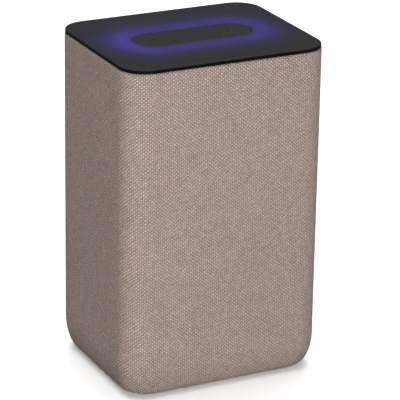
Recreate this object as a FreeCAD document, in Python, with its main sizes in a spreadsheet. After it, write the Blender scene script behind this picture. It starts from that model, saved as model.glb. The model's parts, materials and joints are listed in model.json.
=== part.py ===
"""A mains-powered smart speaker: an upright body wrapped in fabric, with a dark light panel on top.

Frame: millimetres, +Z up, the front faces -Y, the origin is the centre of the footprint on the table.
Every size is a cell of the sheet "dims". Expressions that name those cells drive the features.
"""

import FreeCAD, Part
import math
import os
import re

import Sketcher
from FreeCAD import Placement, Rotation, Vector

# ---------------------------------------------------------------- driving dimensions

DIMENSIONS = {
    # the wrapped body
    "body_width": 120,
    "body_depth": 97,
    "total_height": 190,
    "corner_radius": 15,
    "curve_inset": 6,
    "curve_height": 18.8,
    "skin": 0.8,
    "shell_wall": 2,
    "fit_gap": 0.2,
    "hair_gap": 0.1,
    "slot_width": 3,
    "slot_straight": 17,
    "slot_pitch": 26,
    "slot_rows_low": 42,
    "front_slots": 38.4,
    "side_slots": 24,
    # the foot and the base
    "foot_drop": 1,
    "foot_thickness": 1.8,
    "foot_inset": 10.2,
    "foot_corner": 9.8,
    "foot_hole_inset": 25,
    "foot_hole_corner": 6,
    "foot_edge": 0.6,
    "floor_inset": 24.5,
    "floor_corner": 8,
    "base_thickness": 2.5,
    "base_inset": 7,
    "base_corner": 10,
    "base_screw_x": 44.5,
    "base_screw_y": 33,
    "base_boss_height": 12,
    "post_x": 38,
    "post_front": 24,
    "post_back": 17,
    "post_radius": 4,
    "post_seat": 10,
    # the light panel and the touch pad
    "panel_thickness": 2,
    "panel_inset": 0.3,
    "panel_edge": 0.4,
    "pill_straight": 47.2,
    "pad_width": 22.8,
    "pad_flange": 24.8,
    "pad_low": 186.5,
    "pad_edge": 0.4,
    "mark_x": 23.8,
    "mark_length": 3.6,
    "mark_stroke": 0.7,
    "mark_depth": 0.2,
    "mic_x": 13.5,
    "mic_y": 6.5,
    "mic_port": 0.6,
    "mic_length": 3.5,
    "mic_width": 2.65,
    "mic_height": 1,
    "mic_seal_radius": 2.2,
    "touch_board_low": 185,
    "touch_board_width": 19,
    # the light box beneath the panel
    "frame_low": 176,
    "frame_floor": 2,
    "frame_inset": 3.2,
    "frame_wall": 2.2,
    "standoff_x": 46,
    "standoff_y": 34,
    "standoff_radius": 2.5,
    "led_board_low": 180,
    "led_board_thickness": 1.2,
    "led_board_inset": 5.8,
    "led_ring_radius": 17.5,
    "led_size": 3,
    "led_height": 1,
    "led_window": 2.4,
    "tray_inset": 5.6,
    "tray_floor": 0.8,
    "tray_wall": 1.2,
    "tray_post_x": 28,
    "tray_post_radius": 1.6,
    # screws
    "head_radius": 2,
    "head_height": 1.2,
    "shank": 1.1,
    "pilot": 1.15,
    "clearance": 1.3,
    "counterbore": 2.3,
    "recess_length": 2.2,
    "recess_width": 0.6,
    "recess_depth": 0.7,
    # the acoustic box
    "box_width": 100,
    "box_low": 14,
    "box_high": 166,
    "box_front": 33,
    "box_back": 27,
    "box_wall": 3,
    "box_corner": 8,
    "gasket": 1,
    "baffle": 3,
    "boss_radius": 3.5,
    "boss_edge": 4.8,
    "boss_length": 6,
    # the woofer
    "woofer_height": 66,
    "woofer_frame": 42,
    "woofer_cutout": 35.2,
    "woofer_screw_ring": 39.8,
    "seal": 0.5,
    "steel_sheet": 1.2,
    "basket_neck": 33.8,
    "basket_ledge": 28.4,
    "basket_throat": 22,
    "basket_bore": 13,
    "ledge_level": 11.5,
    "gap_level": 19,
    "cone_radius": 30.8,
    "cone_rim": 1.8,
    "cone_sheet": 0.8,
    "cone_neck": 9.2,
    "cap_radius": 12.6,
    "cap_rise": 3.5,
    "roll_middle": 32.9,
    "roll_radius": 2.1,
    "rubber": 0.5,
    "roll_lip": 37.6,
    "spider_wave": 0.8,
    "coil_radius": 10,
    "coil_former": 0.3,
    "coil_winding": 0.6,
    "coil_length": 8,
    "pole_radius": 9.5,
    "pole_vent": 3,
    "gap_radius": 11.5,
    "plate_radius": 26,
    "plate_thickness": 4,
    "magnet_radius": 28,
    "magnet_bore": 14,
    "magnet_height": 10,
    "tab_width": 9,
    # the tweeter
    "tweeter_height": 132,
    "tweeter_frame": 18.5,
    "tweeter_plate": 2,
    "tweeter_cutout": 14.4,
    "tweeter_screw_ring": 16.4,
    "tweeter_mouth": 11.7,
    "tweeter_flare": 13.4,
    "dome_flat": 0.25,
    "dome_radius": 9.2,
    "dome_rise": 3.2,
    "dome_sheet": 0.3,
    "dome_roll_middle": 10.3,
    "dome_roll": 0.85,
    "dome_coil": 8.75,
    "dome_former": 0.25,
    "dome_winding": 0.4,
    "cup_radius": 14,
    "cup_gap": 9.9,
    "cup_room": 12,
    "cup_depth": 10.4,
    "cup_floor": 2.4,
    "cup_lip": 2.5,
    "pole_cap_radius": 8.25,
    "pole_cap_level": 1,
    "pole_cap_height": 2,
    "button_radius": 7.8,
    # the passive radiators
    "radiator_height": 90,
    "radiator_back": 3,
    "radiator_straight": 46,
    "radiator_flange": 54,
    "radiator_rim": 2,
    "radiator_hole": 46,
    "radiator_sleeve": 45.6,
    "radiator_bore": 41.6,
    "radiator_ledge": 38.8,
    "radiator_level": 2.8,
    "radiator_depth": 4,
    "radiator_roll_middle": 17.2,
    "radiator_plate": 30.4,
    "radiator_sheet": 1.5,
    "radiator_lip": 13.4,
    "weight_width": 20,
    "weight_straight": 34,
    "weight_height": 1.5,
    "radiator_screw_x": 25,
    "radiator_screw_y": 23,
    "radiator_screw_end": 48,
    # the electronics behind the box
    "board_back": 33,
    "board_thickness": 1.6,
    "board_width": 84,
    "board_low": 16,
    "board_high": 150,
    "board_hole_x": 37,
    "board_hole_low": 22,
    "board_hole_high": 144,
    "shield_height": 112,
    "shield_size": 30,
    "sheet_can": 0.4,
    "shield_depth": 3,
    "sink_height": 78,
    "sink_width": 36,
    "sink_length": 24,
    "sink_base": 2,
    "sink_depth": 8,
    "fin_thickness": 1.2,
    "fin_pitch": 5.8,
    "coil_box": 10,
    "coil_box_depth": 5,
    "coil_box_height": 50,
    "coil_box_x": 12,
    "can_radius": 4,
    "can_depth": 9,
    "can_x": 27,
    "plug_depth": 3.5,
    "plug_width": 10,
    "plug_height": 5,
    "ribbon_level": 36.2,
    "ribbon_width": 12,
    "ribbon_sheet": 0.3,
    "ribbon_socket": 16,
    "socket_height": 4,
    "socket_depth": 2.4,
    "header_y": 5.5,
    "header_width": 8,
    "header_depth": 2.5,
    "lead_radius": 0.9,
    "lead_x": 2.2,
    "lead_rise": 33,
    # the power inlet
    "jack_height": 29,
    "jack_size": 12,
    "jack_front": 44,
    "jack_bore": 2.85,
    "jack_bore_depth": 8,
    "jack_pin": 1,
    "jack_pin_free": 7.4,
    "jack_pin_root": 1,
    "jack_pin_collar": 1.4,
    "bezel_hole": 5.4,
    "bezel_sleeve": 6.9,
    "bezel_radius": 8.5,
}

LOFT_STEPS = 8
FULL_TURN = 360

doc = FreeCAD.newDocument("smart_speaker")
sheet = doc.addObject("Spreadsheet::Sheet", "dims")
for row, (alias, number) in enumerate(DIMENSIONS.items(), start=1):
    sheet.set(f"A{row}", alias)
    sheet.set(f"B{row}", str(number))
    sheet.setAlias(f"B{row}", alias)
doc.recompute()

WORD = re.compile(r"[a-z_]+")


def full(text):
    """The expression with each alias written as a cell of the sheet."""
    return WORD.sub(lambda found: "dims." * (found[0] in DIMENSIONS) + found[0], text)


def value(text):
    return float(sheet.evalExpression(full(text)))


# ---------------------------------------------------------------- levels and places used by many pieces

PANEL_LOW = "(total_height - panel_thickness)"
WRAP_TOP = f"({PANEL_LOW} - hair_gap)"
SHELL_TOP = f"({WRAP_TOP} - skin)"
FLOOR_LOW = "(foot_drop + skin)"
FLOOR_TOP = f"({FLOOR_LOW} + shell_wall)"
BASE_TOP = f"({FLOOR_TOP} + base_thickness)"
FRAME_FLOOR = "(frame_low + frame_floor)"
LED_TOP = "(led_board_low + led_board_thickness)"
TRAY_FLOOR = f"({LED_TOP} + tray_floor)"
TOUCH_BOARD_TOP = "(touch_board_low + 1)"
BAFFLE_LOW = "(box_front + gasket)"
BAFFLE_TOP = f"({BAFFLE_LOW} + baffle)"
BOX_MIDDLE = "(box_low + box_high)/2"
BOX_TALL = "(box_high - box_low)"
BOARD_FACE = "(board_back + board_thickness)"

AXIS = ("0", "0", "0")
WOOFER = ("0", f"-({BAFFLE_TOP} + seal)", "woofer_height")
TWEETER = ("0", f"-{BAFFLE_TOP}", "tweeter_height")


def corners(x, *levels):
    """Points at plus and minus x for each level."""
    return [(side, level) for level in levels for side in (x, f"-({x})")]


def circle_of(radius, count, first, x="0", y="0"):
    """Points spaced evenly around a circle, the first at an angle in degrees."""
    angles = [first + FULL_TURN * k / count for k in range(count)]
    return [(f"{x} + {radius}*cos({a})", f"{y} + {radius}*sin({a})") for a in angles]


BASE_SCREWS = corners("base_screw_x", "base_screw_y", "-base_screw_y")
POSTS = corners("post_x", "-post_front", "post_back")
MICS = corners("mic_x", "-mic_y")
BAFFLE_SCREWS = corners(
    "(box_width/2 - boss_edge)", "box_low + boss_edge", BOX_MIDDLE, "box_high - boss_edge"
)
BOARD_SCREWS = corners("board_hole_x", "board_hole_low", "board_hole_high")
WOOFER_SCREWS = circle_of("woofer_screw_ring", 4, 45)
TWEETER_SCREWS = circle_of("tweeter_screw_ring", 3, 90)
RADIATOR_SCREWS = corners("radiator_screw_x", "radiator_screw_y", "-radiator_screw_y")
RADIATOR_SCREWS += [("0", "radiator_screw_end"), ("0", "-radiator_screw_end")]
WOOFER_LEADS = corners("lead_x", "woofer_height + lead_rise")
TWEETER_LEADS = corners("lead_x", "tweeter_height")

# The lamps stand at even steps around the touch pad: six along each side, six around each end.
LEDS = [(f"pill_straight*{k}/12", f"{s}led_ring_radius") for s in ("", "-") for k in range(-5, 6, 2)]
LEDS += [
    (f"{s}(pill_straight/2 + led_ring_radius*cos({a}))", f"led_ring_radius*sin({a})")
    for s in ("", "-")
    for a in range(-75, 90, 30)
]

# ---------------------------------------------------------------- directions a piece can face

X, Y, Z = Vector(1, 0, 0), Vector(0, 1, 0), Vector(0, 0, 1)
UP = Rotation(X, Y, Z, "ZXY")
DOWN = Rotation(X, -Y, -Z, "ZXY")
FRONT = Rotation(X, Z, -Y, "ZXY")
BACK = Rotation(-X, Z, Y, "ZXY")
RIGHT = Rotation(Y, Z, X, "ZXY")
LEFT = Rotation(-Y, Z, -X, "ZXY")

# ---------------------------------------------------------------- outlines drawn in a sketch

C = Sketcher.Constraint
START, END, CENTRE = 1, 2, 3
ACROSS, UPRIGHT = -1, -2
ORIGIN = (-1, START)


def line(a, b):
    return Part.LineSegment(Vector(*a, 0), Vector(*b, 0))


def arc(centre, radius, begin, finish):
    circle = Part.Circle(Vector(*centre, 0), Z, radius)
    return Part.ArcOfCircle(circle, math.radians(begin), math.radians(finish))


def drive(sketch, constraint, text):
    index = sketch.addConstraint(constraint)
    sketch.setExpression(f"Constraints[{index}]", full(text))


def fix(sketch, geometry, point, x=None, y=None):
    """Ties a point's coordinates, given as expressions, to the sketch's origin."""
    for kind, axis, text in (("DistanceX", UPRIGHT, x), ("DistanceY", ACROSS, y)):
        if text == "0":
            sketch.addConstraint(C("PointOnObject", geometry, point, axis))
        elif text is not None:
            drive(sketch, C(kind, *ORIGIN, geometry, point, value(text)), text)


def disc(radius, x="0", y="0"):
    def draw(sketch):
        g = sketch.addGeometry(Part.Circle(Vector(value(x), value(y), 0), Z, value(radius)), False)
        fix(sketch, g, CENTRE, x, y)
        drive(sketch, C("Radius", g, value(radius)), radius)

    return draw


def discs(radius, points):
    return [disc(radius, *point) for point in points]


def rect(width, depth, x="0", y="0"):
    """A rectangle with sharp corners."""

    def draw(sketch):
        left, right = f"({x}) - ({width})/2", f"({x}) + ({width})/2"
        low, high = f"({y}) - ({depth})/2", f"({y}) + ({depth})/2"
        l, r, b, t = (value(side) for side in (left, right, low, high))
        spots = [(l, b), (r, b), (r, t), (l, t)]
        g = sketch.addGeometry([line(spots[k - 1], spots[k]) for k in (1, 2, 3, 0)], False)[0]
        joins = [C("Coincident", g + k, END, g + (k + 1) % 4, START) for k in range(4)]
        levels = [C(way, g + k) for k, way in enumerate(("Horizontal", "Vertical") * 2)]
        sketch.addConstraint(joins + levels)
        fix(sketch, g, START, left, low)
        fix(sketch, g + 2, START, right, high)

    return draw


def rounded(width, depth, radius, x="0", y="0"):
    """A rectangle with rounded corners."""

    def draw(sketch):
        left, right = f"({x}) - ({width})/2", f"({x}) + ({width})/2"
        low, high = f"({y}) - ({depth})/2", f"({y}) + ({depth})/2"
        l, r, b, t, c = (value(side) for side in (left, right, low, high, radius))
        edges = [
            line((l + c, b), (r - c, b)),
            arc((r - c, b + c), c, -90, 0),
            line((r, b + c), (r, t - c)),
            arc((r - c, t - c), c, 0, 90),
            line((r - c, t), (l + c, t)),
            arc((l + c, t - c), c, 90, 180),
            line((l, t - c), (l, b + c)),
            arc((l + c, b + c), c, 180, 270),
        ]
        g = sketch.addGeometry(edges, False)[0]
        joins = [C("Tangent", g + k, END, g + (k + 1) % 8, START) for k in range(8)]
        levels = [C(way, g + 2 * k) for k, way in enumerate(("Horizontal", "Vertical") * 2)]
        equals = [C("Equal", g + 1, g + k) for k in (3, 5, 7)]
        sketch.addConstraint(joins + levels + equals)
        fix(sketch, g, START, y=low)
        fix(sketch, g + 2, START, x=right)
        fix(sketch, g + 4, START, y=high)
        fix(sketch, g + 6, START, x=left)
        drive(sketch, C("Radius", g + 1, c), radius)

    return draw


def slot(width, straight, x="0", y="0", upright=False):
    """A stadium: two half circles joined by straight sides, lying across or standing upright."""

    def draw(sketch):
        w, s, cx, cy = (value(size) for size in (width, straight, x, y))
        turn = 90 if upright else 0
        along = Vector(0, 1) if upright else Vector(1, 0)
        across = Vector(-along.y, along.x)

        def at(a, b):
            spot = Vector(cx, cy) + along * (a * s / 2) + across * (b * w / 2)
            return (spot.x, spot.y)

        edges = [
            line(at(-1, -1), at(1, -1)),
            arc(at(1, 0), w / 2, turn - 90, turn + 90),
            line(at(1, 1), at(-1, 1)),
            arc(at(-1, 0), w / 2, turn + 90, turn + 270),
        ]
        g = sketch.addGeometry(edges, False)[0]
        joins = [C("Tangent", g + k, END, g + (k + 1) % 4, START) for k in range(4)]
        sketch.addConstraint(joins + [C("Equal", g + 1, g + 3)])
        drive(sketch, C("Radius", g + 1, w / 2), f"({width})/2")
        for end, sign in ((g + 1, "+"), (g + 3, "-")):
            if upright:
                fix(sketch, end, CENTRE, x, f"({y}) {sign} ({straight})/2")
            else:
                fix(sketch, end, CENTRE, f"({x}) {sign} ({straight})/2", y)

    return draw


def to(x, y):
    """The next corner of a profile, reached by a straight line."""
    return {"at": (x, y)}


def bend(x, y, centre, clockwise=False):
    """The next corner of a profile, reached by an arc about a centre."""
    return {"at": (x, y), "centre": centre, "clockwise": clockwise}


def profile(*steps):
    """A closed outline through corners. Each step says how its corner is reached."""

    def draw(sketch):
        spots = [tuple(value(part) for part in step["at"]) for step in steps]
        edges = []
        for k, step in enumerate(steps):
            begin, finish = spots[k - 1], spots[k]
            if "centre" not in step:
                edges.append(line(begin, finish))
                continue
            centre = tuple(value(part) for part in step["centre"])
            ends = (finish, begin) if step["clockwise"] else (begin, finish)
            a, b = (math.degrees(math.atan2(y - centre[1], x - centre[0])) for x, y in ends)
            edges.append(arc(centre, math.dist(begin, centre), a, b if b > a else b + FULL_TURN))
        g = sketch.addGeometry(edges, False)[0]
        for k, step in enumerate(steps):
            following = (k + 1) % len(steps)
            leaves = START if step.get("clockwise") else END
            enters = END if steps[following].get("clockwise") else START
            sketch.addConstraint(C("Coincident", g + k, leaves, g + following, enters))
            fix(sketch, g + k, leaves, *step["at"])
            if "centre" in step:
                run = abs(spots[k][0] - spots[k - 1][0])
                rise = abs(spots[k][1] - spots[k - 1][1])
                x, y = step["centre"]
                fix(sketch, g + k, CENTRE, **({"y": y} if run >= rise else {"x": x}))

    return draw


def ring_profile(inner, outer, low, high):
    return profile(to(inner, low), to(outer, low), to(outer, high), to(inner, high))


def roll_profile(middle, base, inner, outer, radius, thickness):
    """A half roll of thin sheet that stands up from a base level, with a flat lip on either side."""
    centre = (middle, base)
    top = f"{base} + {thickness}"
    reach = f"sqrt(({radius} + {thickness}/2)^2 - {thickness}^2)"
    hollow = f"({radius} - {thickness}/2)"
    return profile(
        to(outer, base),
        to(outer, top),
        to(f"{middle} + {reach}", top),
        bend(f"{middle} - {reach}", top, centre),
        to(inner, top),
        to(inner, base),
        to(f"{middle} - {hollow}", base),
        bend(f"{middle} + {hollow}", base, centre, clockwise=True),
    )


def dome_profile(radius, rise, thickness, base):
    """Half the section of a thin spherical cap that stands up from a base level, flat at its very top."""
    sphere = f"(({radius})^2 + ({rise})^2)/(2*({rise}))"
    middle = f"{base} + {rise} - {sphere}"
    inner = f"sqrt(({sphere} - {thickness})^2 - ({sphere} - {rise})^2)"
    top = f"{middle} + sqrt(({sphere})^2 - dome_flat^2)"
    under = f"{middle} + sqrt(({sphere} - {thickness})^2 - dome_flat^2)"
    return profile(
        to(radius, base),
        bend("dome_flat", top, ("0", middle)),
        to("0", top),
        to("0", under),
        to("dome_flat", under),
        bend(inner, base, ("0", middle), clockwise=True),
    )


# ---------------------------------------------------------------- pieces

pieces = []

# The side of each origin plane that its sketches are extruded towards.
NORMAL = {"XY_Plane": 1, "XZ_Plane": -1, "YZ_Plane": 1}


class Piece:
    """One sub-part as a body. Its own Z is the way it faces, and its features are added in order."""

    def __init__(self, label, facing=UP, at=AXIS, many=False):
        self.label = label
        self.body = doc.addObject("PartDesign::Body", label)
        self.body.Label = label
        self.body.AllowCompound = many
        self.body.Placement = Placement(Vector(), facing)
        for axis, text in zip("xyz", at):
            if text != "0":
                self.body.setExpression(f"Placement.Base.{axis}", full(text))
        pieces.append(self.body)

    def origin(self, role):
        return next(item for item in self.body.Origin.OriginFeatures if item.Role == role)

    def sketch(self, outlines, plane="XY_Plane", offset="0"):
        made = self.body.newObject("Sketcher::SketchObject", self.label + "_sketch")
        made.AttachmentSupport = [(self.origin(plane), "")]
        made.MapMode = "FlatFace"
        made.setExpression("AttachmentOffset.Base.z", full(offset))
        for outline in outlines:
            outline(made)
        made.Visibility = False
        return made

    def feature(self, kind, **settings):
        made = self.body.newObject("PartDesign::" + kind, f"{self.label}_{kind.lower()}")
        for name, setting in settings.items():
            setattr(made, name, setting)
        return made

    def done(self, made):
        doc.recompute()
        if {"Invalid", "Error"} & set(made.State):
            raise RuntimeError(f"{made.Label} failed")
        return made

    def pad(self, low, high, *outlines, plane="XY_Plane"):
        """Adds material between two levels along the plane's axis."""
        offset = low if NORMAL[plane] > 0 else f"-({high})"
        made = self.feature("Pad", Profile=self.sketch(outlines, plane, offset))
        made.setExpression("Length", full(f"({high}) - ({low})"))
        return self.done(made)

    def cut(self, low, high, *outlines, plane="XY_Plane"):
        """Removes material between two levels along the plane's axis."""
        before = self.body.Shape.Volume
        offset = high if NORMAL[plane] > 0 else f"-({low})"
        made = self.feature("Pocket", Profile=self.sketch(outlines, plane, offset))
        made.setExpression("Length", full(f"({high}) - ({low})"))
        self.done(made)
        if self.body.Shape.Volume > before - 1e-6:
            raise RuntimeError(f"{made.Label} cuts nothing")
        return made

    def turn(self, *outlines):
        """Turns outlines, drawn as radius and height, about the piece's own Z."""
        made = self.feature("Revolution", Profile=self.sketch(outlines, "XZ_Plane"), Angle=FULL_TURN)
        made.ReferenceAxis = (self.origin("Z_Axis"), [""])
        return self.done(made)

    def loft(self, kind, sections):
        return self.done(self.feature(kind, Profile=sections[0], Sections=sections[1:]))

    def repeat_around(self, features, count):
        """Repeats features evenly around the piece's own Z."""
        made = self.feature("PolarPattern", Originals=features, Angle=FULL_TURN, Occurrences=count)
        made.Axis = (self.origin("Z_Axis"), [""])
        self.body.Tip = made
        return self.done(made)

    def repeat_along(self, feature, axis, length, count):
        """Repeats a feature at even steps along an axis."""
        made = self.feature("LinearPattern", Originals=[feature], Occurrences=count)
        made.Direction = (self.origin(axis), [""])
        made.setExpression("Length", full(length))
        self.body.Tip = made
        return self.done(made)

    def mirror(self, features, plane):
        made = self.feature("Mirrored", Originals=features, MirrorPlane=(self.origin(plane), [""]))
        self.body.Tip = made
        return self.done(made)

    def round_edges(self, radius, chosen):
        """Rounds the edges that chosen picks."""
        base = self.body.Tip
        names = [f"Edge{k}" for k, edge in enumerate(base.Shape.Edges, start=1) if chosen(edge)]
        made = self.feature("Fillet", Base=(base, names))
        made.setExpression("Radius", full(radius))
        return self.done(made)


def at_level(text, beyond=0):
    """Picks the edges that lie flat at one height, with their middles beyond a distance from the axis."""
    level = value(text)

    def chosen(edge):
        box = edge.BoundBox
        flat = abs(box.ZMin - level) < 1e-4 and abs(box.ZMax - level) < 1e-4
        return flat and max(abs(box.Center.x), abs(box.Center.y)) > beyond

    return chosen


def inset_outline(inset, radius=None):
    """The plan of the body, drawn in by an inset."""
    corner = radius or f"corner_radius - ({inset})"
    return rounded(f"body_width - 2*({inset})", f"body_depth - 2*({inset})", corner)


def screws(label, seat, length, points, facing=UP, at=AXIS):
    """Cross-recessed screws. Their heads stand on a seat level and their shanks go down from it."""
    piece = Piece(label, facing, at, many=True)
    head = f"{seat} + head_height"
    features = [
        piece.pad(seat, head, *discs("head_radius", points)),
        piece.pad(f"{seat} - {length}", seat, *discs("shank", points)),
    ]
    for size in (("recess_length", "recess_width"), ("recess_width", "recess_length")):
        crosses = [rect(*size, *point) for point in points]
        features.append(piece.cut(f"{head} - recess_depth", head, *crosses))
    return piece, features


# ---------------------------------------------------------------- the wrapped body


def curved_sections(piece, depth):
    """Sections of the lower edge's curve, at a depth below the fabric's outer face.

    The edge is a quarter ellipse. Every section keeps one corner radius, so the corners are as
    full near the table as they are higher up.
    """
    sections = []
    for step in range(LOFT_STEPS + 1):
        angle = 90 * step / LOFT_STEPS
        inset = f"(curve_inset - (curve_inset - ({depth}))*cos({angle}))"
        level = f"foot_drop + curve_height - (curve_height - ({depth}))*sin({angle})"
        outline = inset_outline(inset, f"corner_radius - ({depth})")
        sections.append(piece.sketch([outline], offset=level))
    return sections


def sleeve(label, outer, inner, top, opening):
    """An upright sleeve between two depths, curved in at the foot, open at the top and the bottom."""
    piece = Piece(label)
    straight = "foot_drop + curve_height"
    piece.loft("AdditiveLoft", curved_sections(piece, outer))
    piece.pad(straight, top, inset_outline(outer))
    piece.loft("SubtractiveLoft", curved_sections(piece, inner))
    piece.cut(straight, top, inset_outline(inner))
    piece.cut("0", f"foot_drop + {inner} + 1", opening)
    return piece


def fabric_cover():
    """The woven cover: turned in around the foot, and over the shell's upper edge."""
    opening = inset_outline("foot_inset - fit_gap", "foot_corner + fit_gap")
    piece = sleeve("fabric_cover", "0", "skin", SHELL_TOP, opening)
    piece.pad(SHELL_TOP, WRAP_TOP, inset_outline("0"), inset_outline("frame_inset - fit_gap"))
    hole = disc("bezel_radius + hair_gap", "0", "jack_height")
    piece.cut("body_depth/2 - skin - 1", "body_depth/2 + 1", hole, plane="XZ_Plane")


def grille_shell():
    """The stiff shell beneath the fabric, slotted in front of the drivers and the radiators."""
    opening = inset_outline("floor_inset", "floor_corner")
    piece = sleeve("grille_shell", "skin", "skin + shell_wall", SHELL_TOP, opening)
    rows = [f"slot_rows_low + {k}*slot_pitch" for k in range(5)]
    front = [slot("slot_width", "slot_straight", "-front_slots", row, upright=True) for row in rows]
    first = piece.cut("-body_depth/2", "-body_depth/2 + 6", *front, plane="XZ_Plane")
    piece.repeat_along(first, "X_Axis", "2*front_slots", 13)
    side = [slot("slot_width", "slot_straight", "-side_slots", row, upright=True) for row in rows]
    first = piece.cut("-body_width/2", "body_width/2", *side, plane="YZ_Plane")
    piece.repeat_along(first, "Y_Axis", "2*side_slots", 9)
    hole = disc("bezel_sleeve + hair_gap", "0", "jack_height")
    piece.cut("body_depth/2 - 6", "body_depth/2", hole, plane="XZ_Plane")
    piece.cut(FLOOR_LOW, FLOOR_TOP, *discs("clearance", BASE_SCREWS))
    piece.cut(FLOOR_LOW, f"{FLOOR_LOW} + head_height", *discs("counterbore", BASE_SCREWS))


# ---------------------------------------------------------------- the foot and the base


def rubber_foot():
    piece = Piece("rubber_foot")
    hole = inset_outline("foot_hole_inset", "foot_hole_corner")
    piece.pad("0", "foot_thickness", inset_outline("foot_inset", "foot_corner"), hole)
    piece.round_edges("foot_edge", at_level("0"))


def base_plate():
    """The plate inside the shell's floor. Its posts carry the acoustic box."""
    piece = Piece("base_plate")
    piece.pad(FLOOR_TOP, BASE_TOP, inset_outline("base_inset", "base_corner"))
    piece.pad(FLOOR_TOP, "box_low", *discs("post_radius", POSTS))
    piece.pad(FLOOR_TOP, "base_boss_height", *discs("boss_radius", BASE_SCREWS))
    piece.cut(FLOOR_TOP, "post_seat", *discs("counterbore", POSTS))
    piece.cut("post_seat", "box_low", *discs("clearance", POSTS))
    piece.cut(FLOOR_TOP, "base_boss_height - 1", *discs("pilot", BASE_SCREWS))


def base_fasteners():
    screws("base_screws", f"-({FLOOR_LOW} + head_height)", "7.5", BASE_SCREWS, DOWN)
    turned = corners("post_x", "post_front", "-post_back")
    screws("chassis_screws", "-post_seat", "10", turned, DOWN)


# ---------------------------------------------------------------- the light panel and the touch pad


def top_panel():
    """The dark translucent panel, with a window for the touch pad."""
    piece = Piece("top_panel")
    window = slot("pad_width + 2*fit_gap", "pill_straight")
    piece.pad(PANEL_LOW, "total_height", inset_outline("panel_inset"), window)
    piece.round_edges("panel_edge", at_level("total_height", beyond=40))


def touch_pad():
    """The soft touch pad, with two pin holes for the microphones and the two volume marks."""
    piece = Piece("touch_pad")
    piece.pad("pad_low", WRAP_TOP, slot("pad_flange", "pill_straight"))
    piece.pad("pad_low", "total_height", slot("pad_width", "pill_straight"))
    piece.round_edges("pad_edge", at_level("total_height"))
    piece.cut("pad_low", "total_height", *discs("mic_port", MICS))
    bars = [rect("mark_length", "mark_stroke", x) for x in ("mark_x", "-mark_x")]
    piece.cut("total_height - mark_depth", "total_height", *bars)
    piece.cut("total_height - mark_depth", "total_height", rect("mark_stroke", "mark_length", "mark_x"))


def touch_electronics():
    board = Piece("touch_board")
    outline = slot("touch_board_width", "pill_straight")
    board.pad("touch_board_low", TOUCH_BOARD_TOP, outline, *discs("mic_port", MICS))
    cans = [rect("mic_length", "mic_width", *point) for point in MICS]
    Piece("microphones", many=True).pad("touch_board_low - mic_height", "touch_board_low", *cans)
    seals = discs("mic_seal_radius", MICS) + discs("mic_port", MICS)
    Piece("mic_gaskets", many=True).pad(TOUCH_BOARD_TOP, "pad_low", *seals)


def light_box():
    """The diffuser, the white reflector tray, and the board with its ring of lamps."""
    diffuser = Piece("light_diffuser")
    window = slot("pad_flange + 2*fit_gap", "pill_straight")
    diffuser.pad("pad_low", PANEL_LOW, inset_outline("tray_inset"), window)

    tray = Piece("reflector_tray")
    tray.pad(LED_TOP, TRAY_FLOOR, inset_outline("tray_inset"))
    tray.pad(LED_TOP, "pad_low", inset_outline("tray_inset"), inset_outline("tray_inset + tray_wall"))
    wall = [slot("pad_flange", "pill_straight"), slot("pad_flange - 2*tray_wall", "pill_straight")]
    tray.pad(LED_TOP, "pad_low", *wall)
    tray.pad(LED_TOP, "touch_board_low", *discs("tray_post_radius", corners("tray_post_x", "0")))
    tray.cut(LED_TOP, TRAY_FLOOR, *discs("led_window", LEDS))
    header_room = rect("header_width + 1", "header_depth + 1", "0", "header_y")
    tray.cut(LED_TOP, TRAY_FLOOR, header_room)

    board = Piece("led_board")
    board.pad("led_board_low", LED_TOP, inset_outline("led_board_inset"))
    lamps = [rect("led_size", "led_size", *point) for point in LEDS]
    Piece("leds", many=True).pad(LED_TOP, f"{LED_TOP} + led_height", *lamps)


def top_frame():
    """The tray that carries the whole top, screwed to the posts of the acoustic box."""
    piece = Piece("top_frame")
    piece.pad("frame_low", FRAME_FLOOR, inset_outline("frame_inset"))
    piece.pad("frame_low", PANEL_LOW, inset_outline("frame_inset"), inset_outline("frame_inset + frame_wall"))
    standoffs = discs("standoff_radius", corners("standoff_x", "standoff_y", "-standoff_y"))
    piece.pad("frame_low", "led_board_low", *standoffs)
    piece.cut("frame_low", FRAME_FLOOR, *discs("clearance", POSTS))
    piece.cut("frame_low", FRAME_FLOOR, rect("ribbon_socket + 2", "5", "0", "ribbon_level"))
    screws("top_frame_screws", FRAME_FLOOR, "10", POSTS)


# ---------------------------------------------------------------- the acoustic box


def front_outline(inset="0"):
    """The front view of the acoustic box, drawn in by an inset."""
    size = (f"box_width - 2*({inset})", f"{BOX_TALL} - 2*({inset})")
    return rounded(*size, f"box_corner - ({inset})", "0", BOX_MIDDLE)


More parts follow.
